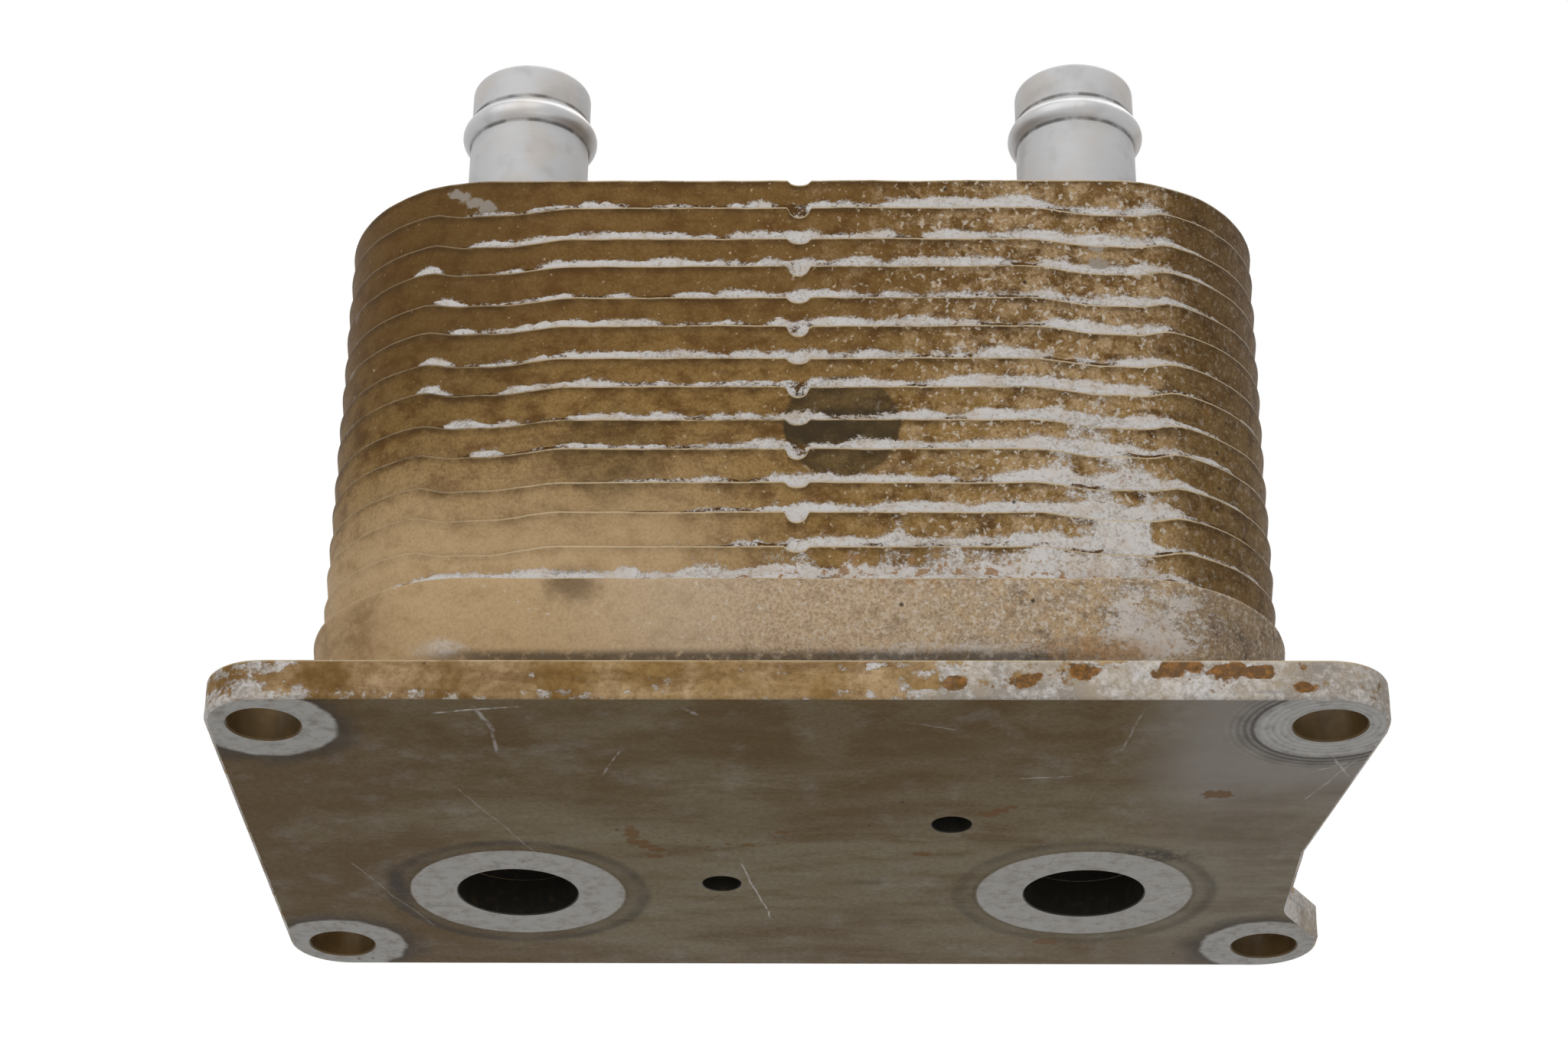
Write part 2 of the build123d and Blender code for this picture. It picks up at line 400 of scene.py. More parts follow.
    def held(self, name):
        """A value that the mesh holds at each of its points."""
        return self.node("ShaderNodeAttribute", attribute_name=name).outputs["Fac"]

    def mix(self, amount, first, second):
        """Colour between first and second."""
        return self.node("ShaderNodeMix", {0: amount, 6: first, 7: second}, data_type="RGBA").outputs[2]

    def paint(self, amount, colour):
        """Lays a colour over the base colour."""
        self.base = self.mix(amount, self.base, colour)

    def finish(self, rough, height, metal=0.0, strength=0.5, distance=0.25, shine=0.25):
        """Puts the base colour, roughness and relief on the surface."""
        bump = {"Strength": strength, "Distance": distance * MM, "Height": height}
        inputs = {
            "Base Color": self.base,
            "Roughness": rough,
            "Metallic": metal,
            "Specular IOR Level": shine,
            "Normal": self.node("ShaderNodeBump", bump).outputs[0],
        }
        surface = self.node("ShaderNodeBsdfPrincipled", inputs)
        self.node("ShaderNodeOutputMaterial", {"Surface": surface.outputs[0]})
        return self.material


def underside_material(tint, sizes):
    """Stained mounting face with bright spots under the bolts and seals."""
    s = Shade("mounting_face")
    wide = s.clouds(24, 4, 0.5, stretch=(0.6, 1.5, 1))
    streak = s.clouds(7, 6, 0.62, stretch=(0.4, 1.5, 1))
    grain = s.clouds(0.7, 4, 0.7)
    front = s.ramp(s.y, 2, -34)
    side = s.ramp(s.x, -30, -62)
    back = s.ramp(s.y, 16, 40)
    ends = s.most(s.times(side, 0.3), s.times(back, 0.14))
    dark = s.plus(s.times(wide, 0.8), s.most(s.times(front, 0.24), ends))
    s.base = s.mix(s.ramp(dark, 0.38, 0.62), tint.underside, tint.underside_dark)
    s.paint(s.ramp(streak, 0.44, 0.66, 0, 0.7), tint.underside_dark)
    s.paint(s.ramp(s.clouds(13, 5, 0.6, shift=20), 0.44, 0.6, 0, 0.45), tint.underside)
    s.paint(s.ramp(s.clouds(6, 6, 0.62, shift=9), 0.5, 0.76, 0, 0.22), tint.bare)
    greyer = s.times(s.ramp(s.x, 38, 50), s.ramp(s.plus(s.y, s.times(streak, 14)), 2, -16, 0.3, 1))
    s.paint(s.times(greyer, s.ramp(grain, 0.2, 0.8, 0.35, 0.75)), tint.bare)
    s.paint(s.ramp(grain, 0.3, 0.75, 0, 0.3), tint.soot_and_shade)

    pale = 0.0
    dark = 0.0
    half_x, half_y = sizes.bolt_pitch_x / 2 / MM, sizes.bolt_pitch_y / 2 / MM
    for x in (-half_x, half_x):
        for y in (-half_y, half_y):
            pale = s.most(pale, s.spot((x, y, 0), 8.2, 9.0, 0.7, size=3))
            dark = s.most(dark, s.spot((x, y, 0), 8.8, 12.6, 2.4, size=4))
    port_x, port_y = sizes.port_pitch_x / 2 / MM, sizes.port_pitch_y / 2 / MM
    for x in (-port_x, port_x):
        pale = s.most(pale, s.spot((x, port_y, 0), 13.85, 14.15, 0.15, size=3))
        outer = s.spot((x, port_y, 0), 16.7, 17.8, 0.6, size=6)
        inner = s.spot((x, port_y, 0), 15.2, 16.4, 0.6, size=6)
        ring = s.minus(outer, s.times(inner, 0.6))
        strength = 1.0 if x < 0 else 0.7
        dark = s.most(dark, s.times(ring, s.ramp(s.clouds(9, 4, shift=4), 0.35, 0.6, 0.45, strength)))
        groove = s.minus(s.spot((x, port_y, 0), 14.4, 14.9, 0.2), s.spot((x, port_y, 0), 14.05, 14.3, 0.1))
        dark = s.most(dark, s.times(groove, 0.55))
    s.paint(s.times(dark, 0.72), tint.soot_and_shade)
    smear = s.times(s.spot((-52.3, 14.6, 0), 0.4, 1.9, 1.1, (1, 0.2, 1)), 0.85)
    far_smear = s.spot((44, 3.8, 0), 0.6, 3.6, 1.6, (0.36, 1, 1))
    far_smear = s.times(far_smear, s.ramp(s.clouds(1.1, 4, 0.6, shift=6), 0.42, 0.55))
    smear = s.most(smear, s.times(far_smear, 0.85))
    s.paint(smear, tint.soot_and_shade)
    s.paint(s.times(pale, s.ramp(s.clouds(2.2, 6, 0.7), 0.3, 0.56, 0.55, 1)), tint.bare)
    patchy = s.times(pale, s.ramp(s.clouds(1.5, 5, 0.7, shift=12), 0.56, 0.7, 0, 0.6))
    s.paint(patchy, tint.underside)

    distance = s.vector("DISTANCE", s.place, (half_x, -half_y, 0))
    turned = s.math("SINE", s.times(distance, 2 * pi / 0.85))
    rings = s.times(s.ramp(distance, 13.5, 8), s.ramp(turned, -0.6, 0.8))
    s.paint(s.times(rings, s.ramp(grain, 0.3, 0.6, 0.1, 0.3)), tint.silver)

    rust = s.spot((-21.0, -3.0, 0), 0.7, 1.1, 1.0, (1, 0.4, 1), 1.0)
    for x, y, reach in FACE_RUST:
        rust = s.most(rust, s.spot((x, y, 0), reach * 0.9, reach * 1.15, 0.8 * reach, (0.6, 1, 1), 0.9))
    strewn = s.times(s.dots(1.5, 0.4), s.spot((-9, -0.5, 0), 3, 11, 3, (0.8, 1.8, 1)))
    s.paint(s.times(s.most(rust, strewn), 0.85), s.mix(s.ramp(grain, 0.6, 0.85), tint.brown, tint.rust))
    s.paint(s.times(s.dots(*PITS), s.ramp(s.clouds(9, 2, shift=2), 0.45, 0.55, 0, 0.85)), tint.soot_and_shade)
    faint = s.times(s.spot((9.1, 12.7, 0), 0.2, 1.1, 0.5, (0.24, 1, 1)), 0.28)
    s.paint(faint, tint.soot_and_shade)

    cuts = 0.0
    bent = s.wavy(5, 0.5)
    for start, end, width, depth in SCRATCHES:
        cuts = s.most(cuts, s.times(s.line(bent, start, end, width), depth))
    cuts = s.times(cuts, s.ramp(s.clouds(1.2, 4, shift=2), 0.36, 0.58, 0.1, 0.7))
    s.paint(cuts, tint.chalk)

    rough = s.ramp(s.plus(s.times(grain, 0.5), s.times(streak, 0.5)), 0.25, 0.75, 0.42, 0.66)
    height = s.minus(s.plus(s.times(grain, 0.35), s.times(rings, 0.3)), s.plus(cuts, s.dots(*PITS)))
    return s.finish(rough, height, strength=0.35, distance=0.08, shine=0.07)


def edge_material(tint):
    """Flange's edges and upper face: a tan film on the left, chalky on the right, with rust."""
    s = Shade("flange_edge")
    wide = s.clouds(9, 5, 0.6)
    grain = s.clouds(0.7, 5, 0.7)
    flecks = s.clouds(1.8, 6, 0.68, shift=5)
    drawn = s.clouds(2.2, 5, 0.65, stretch=(0.22, 0.22, 1), shift=14)
    s.base = s.mix(s.ramp(wide, 0.36, 0.64), tint.gold, tint.tan)
    left = s.ramp(s.x, -18, -40)
    s.paint(s.times(left, s.ramp(wide, 0.3, 0.6, 0.8, 0.2)), tint.brown)
    s.paint(s.ramp(drawn, 0.46, 0.68, 0, 0.65), tint.brown)
    s.paint(s.ramp(grain, 0.35, 0.75, 0, 0.55), tint.brown)
    ends = s.most(s.ramp(s.x, 2, 30), s.times(s.ramp(s.x, -50, -62), 0.55))
    low = s.times(s.ramp(s.z, 1.7, 0.5), 0.2)
    broken = s.plus(s.times(s.minus(flecks, 0.5), 1.5), s.times(s.minus(drawn, 0.5), 1.3))
    cover = s.plus(s.times(ends, 0.56), low, broken)
    chalk = s.ramp(cover, 0.26, 0.44)
    crust = s.mix(s.ramp(s.plus(s.times(grain, 0.5), s.times(wide, 0.5)), 0.4, 0.6), tint.residue, tint.chalk)
    crust = s.mix(s.ramp(s.clouds(6, 3, shift=2), 0.45, 0.65, 0, 0.3), crust, tint.rim)
    streaks = s.clouds(1.1, 4, 0.6, stretch=(0.15, 0.15, 1), shift=23)
    crust = s.mix(s.ramp(streaks, 0.6, 0.7, 0, 0.6), crust, tint.silver_dark)
    s.paint(s.times(chalk, 0.95), crust)
    blobs = s.clouds(3.6, 6, 0.7, shift=7)
    rust = s.ramp(blobs, 0.62, 0.66, 0, 0.8)
    for x, z, reach in EDGE_RUST:
        rust = s.most(rust, s.spot((x, -42.4, z), reach * 0.62, reach * 0.8, 0.8 * reach, (0.62, 1, 1.2), 1.6))
    rust = s.times(rust, s.ramp(s.x, -2, 24, 0.15, 0.95))
    s.paint(rust, s.mix(s.ramp(grain, 0.3, 0.6), tint.rust, tint.brown))
    # Painted highlight along the flange's top edge
    s.paint(s.times(s.ramp(s.z, 4.5, 4.9), s.ramp(drawn, 0.35, 0.5, 0.2, 0.8)), tint.rim)
    s.paint(s.times(s.dots(4, 0.28, 6), 0.6), tint.soot_and_shade)
    rough = s.ramp(grain, 0.3, 0.7, 0.55, 0.85)
    height = s.plus(s.times(chalk, flecks), s.times(grain, 0.5))
    return s.finish(rough, height, strength=0.5, distance=0.25, shine=0.1)


def bore_material(tint, name, tone, oiled=1.0):
    """Inside of a hole: a film of oil that hides the metal in full or in part; at full strength it is also painted
    shade inside the ports.
    """
    s = Shade(name)
    grain = s.clouds(1.1, 4, 0.6)
    film = s.clouds(4, 3, stretch=(1, 1, 0.5))
    s.base = s.mix(s.ramp(film, 0.35, 0.65, 0, oiled), tone, tint.oil)
    s.paint(s.ramp(grain, 0.55, 0.8, 0, 0.3), tint.brown)
    rough = s.ramp(grain, 0.3, 0.7, 0.28, 0.5)
    return s.finish(rough, grain, metal=0.12, strength=0.3, distance=0.1, shine=0.15)


def crust_colour(s, tint, grain, wide):
    """Grey-white flux residue and chalk, with darker gaps between its grains."""
    pale = s.plus(s.times(grain, 0.45), s.plus(s.times(wide, 0.25), s.times(s.clouds(2.2, 6, 0.7, shift=27), 0.3)))
    crust = s.mix(s.ramp(pale, 0.35, 0.52), tint.residue, tint.chalk)
    crust = s.mix(s.ramp(s.clouds(3.5, 4, 0.6, shift=31), 0.46, 0.68, 0, 0.3), crust, tint.tan)
    return s.mix(s.ramp(s.clouds(0.7, 4, 0.7, shift=41), 0.46, 0.36, 0, 0.4), crust, tint.gold)


def broken_edge(s):
    """Coarse and fine noise about 0 that breaks up the residue."""
    coarse = s.times(s.minus(s.clouds(5.5, 10, 0.77, stretch=(0.6, 0.6, 1.2), shift=5), 0.5), 2.6)
    fine = s.times(s.minus(s.clouds(0.5, 3, 0.8, shift=4), 0.5), 1.15)
    return s.plus(coarse, fine)


def wall_material(tint):
    """Pressed walls: a furnace film with painted shade below each rim and along the tray's foot, a painted highlight
    on each lip, residue above each seam, chalky patches and stains.
    """
    s = Shade("stained_wall")
    below, above = (s.times(s.held(name), 1 / MM) for name in ("below_rim", "above_rim"))
    amount = s.held("residue")
    wide = s.clouds(17, 4, shift=1)
    mottle = s.clouds(2.8, 7, 0.68, stretch=(0.8, 0.8, 1.2))
    grain = s.clouds(0.4, 3, 0.8)
    knots = s.clouds(1.3, 5, 0.7, shift=4)
    broken = broken_edge(s)
    outside = s.ramp(below, 17, 13)
    right = s.times(s.ramp(s.x, -14, 36), outside)
    left = s.ramp(s.x, -24, -46)
    facing = s.ramp(s.y, -24, -32)
    in_tray = s.ramp(s.z, 18.2, 17.6)
    corner = s.times(s.ramp(s.plus(s.x, s.times(wide, 8)), 46, 54), s.ramp(in_tray, 0, 1, 1, 0.5))

    s.base = s.mix(s.ramp(mottle, 0.41, 0.67), tint.gold, tint.brown)
    upper = s.ramp(s.plus(s.z, s.times(wide, 10)), 44, 64)
    s.paint(s.times(upper, 0.6), tint.brown)
    lower = s.ramp(s.plus(s.z, s.times(wide, 14)), 47, 27)
    smooth_left = s.times(s.ramp(s.x, 6, -22), lower)
    tanned = s.most(s.times(smooth_left, 0.95), s.times(in_tray, s.ramp(s.x, 44, 22, 0.2, 0.9)))
    s.paint(tanned, s.mix(s.ramp(mottle, 0.45, 0.8, 0, 0.6), tint.tan, tint.gold))
    s.paint(s.times(in_tray, s.ramp(s.x, -34, -8, 0, 0.18)), tint.chalk)
    s.paint(s.times(in_tray, s.ramp(s.x, 4, 32, 0, 0.42)), tint.residue)
    beige = s.ramp(s.plus(s.clouds(2.2, 8, 0.78, shift=17), s.times(right, 0.12)), 0.54, 0.68)
    beige = s.times(beige, s.ramp(right, 0, 1, 0.12, 0.75), s.ramp(corner, 0, 1, 1, 0.3))
    s.paint(beige, tint.tan)
    s.paint(s.times(left, s.ramp(s.z, 30, 46), 0.4), tint.shade)
    calm = s.ramp(smooth_left, 0, 1, 1, 0.35)
    s.paint(s.times(s.ramp(grain, 0.4, 0.7, 0, 0.6), calm), tint.brown)
    s.paint(s.times(s.ramp(mottle, 0.52, 0.66, 0, 0.45), calm, right), tint.shade)
    s.paint(s.times(corner, 0.5), tint.shade)
    s.paint(s.times(s.ramp(grain, 0.46, 0.3, 0, 0.2), s.ramp(right, 0, 1, 0.4, 1)), tint.rim)

    # Painted shade: a band below each rim and a thin darker line close under it, both weaker in the tray
    shadow = s.times(s.ramp(below, 1.5, 0.3), s.ramp(mottle, 0.3, 0.6, 0.25, 0.7), calm)
    shade_line = s.times(s.ramp(below, 0.75, 0.45), s.ramp(mottle, 0.4, 0.6, 0.1, 0.7), s.ramp(smooth_left, 0, 1, 1, 0.45))
    s.paint(s.times(s.most(shadow, shade_line), s.ramp(in_tray, 0, 1, 1, 0.2)), tint.shade)

    patch = s.spot((38, -38, 30), 2, 20, 8, (1.5, 0.5, 1), 6)
    foot = s.minus(amount, s.ramp(above, 0, 2.7, 0, 1.3))
    first = s.times(s.ramp(s.z, 25, 20), s.ramp(s.x, -40, 0, 0.1, 1), s.ramp(s.x, 50, 38), 0.75)
    second = s.times(s.ramp(s.z, 29, 25), s.ramp(s.x, -4, 12), s.ramp(s.x, 50, 38), 0.4)
    wash = s.minus(s.times(right, 0.36), s.times(corner, 0.55))
    wash = s.plus(wash, s.times(patch, 0.62), s.most(first, second))
    cover = s.plus(foot, s.times(wash, facing))
    crusted = s.ramp(s.plus(cover, broken), 0.37, 0.68)
    low_patch = s.spot((42, -39, 11.5), 0.5, 10, 3, (0.6, 0.5, 1), 4)
    low_patch = s.ramp(s.plus(low_patch, s.times(broken, 1.3)), 0.6, 0.84, 0, 0.7)
    smear = s.spot((-43, -40, 8.6), 0.2, 3.4, 0, (0.3, 0.4, 1))
    smear = s.ramp(s.plus(smear, s.times(broken, 0.5)), 0.4, 0.9, 0, 0.6)
    near_foot = s.times(s.ramp(s.z, 11.5, 8.6), s.ramp(s.x, -6, 10), s.ramp(s.x, 56, 46), 0.6)
    foot_crust = s.ramp(s.plus(near_foot, s.times(broken, 0.8)), 0.42, 0.8, 0, 0.6)
    in_tray_crust = s.times(s.most(low_patch, smear, foot_crust), facing)
    crusted = s.plus(s.times(crusted, s.ramp(in_tray, 0, 1, 1, 0)), s.times(in_tray_crust, in_tray))
    s.paint(s.times(crusted, 0.93), crust_colour(s, tint, grain, wide))
    specks = s.ramp(s.plus(s.clouds(0.8, 4, 0.6, shift=9), s.ramp(s.x, -30, 30, -0.07, 0.042)), 0.6, 0.68, 0, 0.7)
    speck_colour = s.mix(s.ramp(right, 0, 1, 0, 0.5), tint.rim, tint.chalk)
    s.paint(s.times(specks, s.ramp(crusted, 0, 1, 1, 0.1), s.ramp(corner, 0, 1, 1, 0.25)), speck_colour)
    flecks = s.plus(s.clouds(0.75, 5, 0.65, shift=19), s.ramp(s.x, -40, 20, -0.07, 0.02))
    flecks = s.times(s.ramp(flecks, 0.56, 0.64, 0, 0.6), in_tray)
    s.paint(s.times(flecks, s.ramp(corner, 0, 1, 1, 0.4)), s.mix(knots, tint.rim, tint.chalk))

    stain = s.spot((5.4, -38, 39.1), 6.9, 7.4, 0.4, (1, 0.3, 1))
    stain = s.times(stain, s.ramp(s.away(s.z, 39), 1.8, 3.2, 0.98, 0.7))
    stain = s.most(stain, s.times(s.spot((-22.9, -38, 35.3), 5, 7.8, 1, (1, 0.3, 1)), 0.35))
    stain = s.times(stain, facing, s.ramp(crusted, 0, 1, 1, 0.08), s.ramp(mottle, 0.3, 0.6, 0.8, 1))
    s.paint(stain, tint.stain)
    smudge = s.times(s.spot((-26.6, -39, 17.0), 0.8, 3.8, 1.4, (0.75, 0.4, 1), 1.2), facing)
    s.paint(s.times(smudge, 0.6), tint.shade)
    # Painted shade along the tray's foot, at its bend above the flange, weaker towards both ends
    line = s.times(s.ramp(s.z, 9.0, 7.8), s.ramp(knots, 0.3, 0.5, 0.35, 0.95))
    line = s.times(line, s.ramp(s.x, -46, -36, 0.15, 1), s.ramp(s.x, 42, 30, 0.2, 1))
    s.paint(s.times(line, in_tray, 0.8), tint.soot_and_shade)
    blotch = s.times(s.ramp(s.x, -46, -54), in_tray, s.ramp(mottle, 0.35, 0.6, 0.15, 0.45))
    s.paint(blotch, tint.brown)

    pale = 0.0
    for x, z, reach in RIM_BLOBS:
        pale = s.most(pale, s.spot((x, -38, z), 0.6 * reach, reach, 0.9, (0.8, 0.1, 1), 1.1))
    # Painted highlights at the left corner, in residue colour like the pale blobs above
    for y, z, reach in CORNER_GLINTS:
        glint = s.spot((-56.6, y, z), 0.3 * reach, reach, 0.9, (1, 0.6, 1.1), 1)
        pale = s.most(pale, s.times(glint, 0.55))
    s.paint(s.times(pale, 0.85), tint.residue)

    rust = s.spot((16, -38, 19.4), 16, 22, 4, (1, 0.3, 7))
    rust = s.times(rust, s.ramp(s.clouds(1.6, 5, 0.65, shift=21), 0.54, 0.6), 0.85)
    rust = s.most(rust, s.times(s.spot((36, -40, 8.6), 0.4, 2.6, 1.2, (0.25, 0.4, 1), 1.4), 0.8))
    spread = s.ramp(s.clouds(2.4, 7, 0.74, shift=13), 0.61, 0.67)
    rust = s.most(rust, s.times(spread, s.ramp(s.x, 4, 40, 0.04, 0.6), s.ramp(s.z, 56, 34, 0.25, 1)))
    dark_rust = s.mix(s.ramp(grain, 0.35, 0.7), tint.rust, tint.brown)
    s.paint(rust, s.mix(s.ramp(s.z, 23, 20, 0, 0.3), dark_rust, tint.tan))
    black = s.times(s.dots(6, 0.36, 5), s.ramp(s.x, -40, 20, 0.2, 0.9))
    s.paint(black, tint.soot_and_shade)

    # Painted highlight: a pale line along each rim's lip, in patches and fainter on the left
    patchy = s.ramp(s.plus(s.times(knots, 0.7), s.times(wide, 0.5)), 0.42, 0.62, 0.2, 0.95)
    lip = s.times(s.ramp(below, 0.38, 0.18), s.times(patchy, s.ramp(left, 0, 1, 1, 0.35)))
    s.paint(s.times(lip, s.ramp(below, -0.6, -0.3)), tint.rim)
    rough = s.ramp(s.plus(s.times(crusted, 0.5), s.times(grain, 0.5)), 0.2, 0.8, 0.5, 0.85)
    metal_grain = s.plus(s.times(grain, 0.3), s.times(mottle, outside, 0.3))
    height = s.plus(s.times(crusted, s.ramp(knots, 0.2, 0.8, 0.6, 1.2)), metal_grain)
    return s.finish(rough, height, strength=0.5, distance=0.22, shine=0.06)


def seam_material(tint):
    """Rough flux residue on the brazed seams."""
    s = Shade("flux_residue")
    amount = s.held("residue")
    grain = s.clouds(0.4, 3, 0.8)
    knots = s.clouds(1.3, 5, 0.7, shift=4)
    wide = s.clouds(17, 4, shift=1)
    pale = s.ramp(s.plus(s.times(amount, 0.98), broken_edge(s)), 0.36, 0.66)
    film = s.mix(s.ramp(knots, 0.4, 0.65), tint.brown, tint.shade)
    s.base = s.mix(pale, film, crust_colour(s, tint, grain, wide))
    rust = s.spot((23, -38, 18.4), 30, 36, 4, (1, 0.3, 9))
    rust = s.times(rust, s.ramp(s.clouds(1.3, 4, 0.6, shift=21), 0.55, 0.62), 0.85)
    s.paint(rust, tint.rust)
    rough = s.ramp(grain, 0.3, 0.7, 0.6, 0.9)
    return s.finish(rough, s.plus(grain, knots), strength=0.8, distance=0.3, shine=0.1)


def nipple_material(tint):
    """Clean matte turned aluminium with faint smudges, and painted shade in the grooves beside the bead."""
    s = Shade("turned_aluminium")
    smudge = s.clouds(5, 4, 0.5, shift=3)
    turned = s.clouds(0.35, 3, 0.5, stretch=(0.12, 0.12, 1))
    grain = s.clouds(0.6, 3, 0.6)
    s.base = s.mix(s.ramp(smudge, 0.5, 0.75, 0, 0.36), tint.silver, tint.silver_dark)
    s.paint(s.times(turned, 0.14), tint.silver_dark)
    s.paint(s.ramp(s.clouds(8, 2, shift=8), 0.48, 0.68, 0, 0.2), tint.tan)
    s.paint(s.times(s.dots(9, 0.3, 2), 0.5), tint.soot_and_shade)
    # Painted shade in the grooves on either side of the bead
    upper_groove_shade = s.ramp(s.away(s.z, UPPER_GROOVE), 0.5, 0.15)
    lower_groove_shade = s.ramp(s.away(s.z, LOWER_GROOVE), 0.4, 0.1)
    groove = s.times(s.most(upper_groove_shade, lower_groove_shade), s.ramp(s.clouds(3, 3, shift=6), 0.4, 0.6, 0.3, 0.75))
    s.paint(groove, tint.soot_and_shade)
    on_bead = s.ramp(s.away(s.z, BEAD_MIDDLE), 2.2, 1.2)
    rough = s.minus(s.ramp(smudge, 0.3, 0.8, 0.44, 0.58), s.times(on_bead, 0.14))
    metal = s.ramp(on_bead, 0, 1, 0.12, 0.5)
    height = s.plus(turned, s.times(grain, 0.4))
    return s.finish(rough, height, metal=metal, strength=0.16, distance=0.05, shine=0.4)


def mill_material(tint):
    """Rolled sheet of the turbulators, with a thin film of oil."""
    s = Shade("mill_sheet")
    rolled = s.clouds(1.2, 4, stretch=(0.15, 1, 1))
    s.base = s.mix(s.ramp(rolled, 0.3, 0.7), tint.bare, tint.silver_dark)
    s.paint(s.ramp(s.clouds(14, 3), 0.5, 0.7, 0, 0.5), tint.brown)
    return s.finish(s.ramp(rolled, 0.3, 0.7, 0.3, 0.5), rolled, metal=0.7, strength=0.2, distance=0.05)


def floor_material(tint):
    """Pale floor that only the camera sees, and only from above, so that light reaches the mounting face.

    It fades out far from the cooler.
    """
    s = Shade("pale_floor")
    pale = s.mix(s.times(s.clouds(40, 3), 0.08), tint.floor, tint.chalk)
    surface = s.node("ShaderNodeBsdfDiffuse", {"Color": pale})
    clear = s.node("ShaderNodeBsdfTransparent")
    path = s.node("ShaderNodeLightPath").outputs
    below = s.node("ShaderNodeNewGeometry").outputs["Backfacing"]
    far = s.ramp(s.vector("LENGTH", s.place), 260, 620)
    unseen = s.minus(1.0, path["Is Camera Ray"])
    hidden = s.most(below, far, unseen)
    mixed = s.node("ShaderNodeMixShader", {0: hidden, 1: surface.outputs[0], 2: clear.outputs[0]})
    s.node("ShaderNodeOutputMaterial", {"Surface": mixed.outputs[0]})
    return s.material


# Meshes


def outline(corners, growth, spacing, arc_steps, crowding=0.0):
    """Points round a shape with rounded corners, moved outwards by growth.

    Each corner is (x, y, radius), in order with the shape on the left. The number of points
    doesn't depend on growth. Crowding draws the points of a straight side to its middle.
    """

    def arcs(moved):
        found = []
        for before, corner, after in zip(corners[-1:] + corners[:-1], corners, corners[1:] + corners[:1]):
            into = (Vector(corner[:2]) - Vector(before[:2])).normalized()
            out = (Vector(after[:2]) - Vector(corner[:2])).normalized()
            turn = atan2(into.cross(out), into.dot(out))
            right_in, right_out = Vector((into.y, -into.x)), Vector((out.y, -out.x))
            tip = Vector(corner[:2]) + moved * (right_in + right_out) / (1 + right_in.dot(right_out))
            side = 1 if turn > 0 else -1
            radius = corner[2] + side * moved
            start = tip - into * radius * tan(abs(turn) / 2)
            centre = start - side * right_in * radius
            points = []
            for step in range(arc_steps + 1):
                angle = turn * step / arc_steps
                ray = side * right_in
                ray = Vector((ray.x * cos(angle) - ray.y * sin(angle), ray.x * sin(angle) + ray.y * cos(angle)))
                points.append(centre + ray * radius)
            found.append(points)
        return found

    plain, moved = arcs(0.0), arcs(growth)
    points = []
    for index, arc in enumerate(moved):
        points += arc
        following = (index + 1) % len(moved)
        gap = (plain[following][0] - plain[index][-1]).length
        count = max(1, round(gap / spacing))
        for step in range(1, count):
            t = 2 * step / count - 1
            share = ((1 - crowding) * t + crowding * t**3 + 1) / 2
            points.append(arc[-1].lerp(moved[following][0], share))
    return points


def quarter_turn(steps):
    """Points round a quarter of the circle about (1, 1) with radius 1, from (1, 0) to (0, 1)."""
    angles = [pi / 2 * step / steps for step in range(steps + 1)]
    return [(1 - sin(angle), 1 - cos(angle)) for angle in angles]


def circle(centre, radius, steps=48):
    """Points round a circle."""
    x, y = centre
    angles = [2 * pi * step / steps for step in range(steps)]
    return [Vector((x + radius * cos(angle), y + radius * sin(angle))) for angle in angles]


def ring(mesh, points, height):
    """Adds the points of a ring to the mesh, at one height or at a height for each."""
    heights = height if isinstance(height, list) else [height] * len(points)
    return [mesh.verts.new((point.x, point.y, z)) for point, z in zip(points, heights)]


def bridge(mesh, rings, material=0, closed=False):
    """Joins neighbouring rings by faces."""
    pairs = list(zip(rings, rings[1:] + rings[:1])) if closed else list(zip(rings, rings[1:]))
    for first, second in pairs:
        for index, (a, d) in enumerate(zip(first, second)):
            following = (index + 1) % len(first)
            face = mesh.faces.new((a, first[following], second[following], d))
            face.material_index = material
            face.smooth = True


def cap(mesh, rings, material=0):
    """Fills the flat area between an outer ring and the rings of its holes."""
    edges = []
    for loop in rings:
        for a, b in zip(loop, loop[1:] + loop[:1]):
            edges.append(mesh.edges.get((a, b)) or mesh.edges.new((a, b)))
    filled = bmesh.ops.triangle_fill(mesh, use_beauty=True, use_dissolve=False, edges=edges)
    for face in filled["geom"]:
        if isinstance(face, bmesh.types.BMFace):
            face.material_index = material


def piece(name, mesh, materials, slot, *nodes):
    """Makes a mesh into a piece that rides on the cooler and stands for its nodes."""
    bmesh.ops.recalc_face_normals(mesh, faces=mesh.faces[:])
    data = bpy.data.meshes.new(name)
    mesh.to_mesh(data)
    mesh.free()
    data.set_sharp_from_angle(angle=radians(40))
    for material in materials:
        data.materials.append(material)
    made = bpy.data.objects.new(name, data)
    bpy.context.scene.collection.objects.link(made)
    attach(made, "root")
    if nodes:
        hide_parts(*nodes)
    return made


def port_places(sizes):
    """Places of the oil ports and of the coolant ports."""
    x, y = sizes.port_pitch_x / 2, sizes.port_pitch_y / 2
    return [(-x, y), (x, y)], [(-x, -y), (x, -y)]


def dish_corners(sizes):
    """Corners of a dish's rim, with their radius."""
    x, y, radius = sizes.dish_length / 2, sizes.dish_width / 2, sizes.dish_corner
    return [(x, -y, radius), (x, y, radius), (-x, y, radius), (-x, -y, radius)]


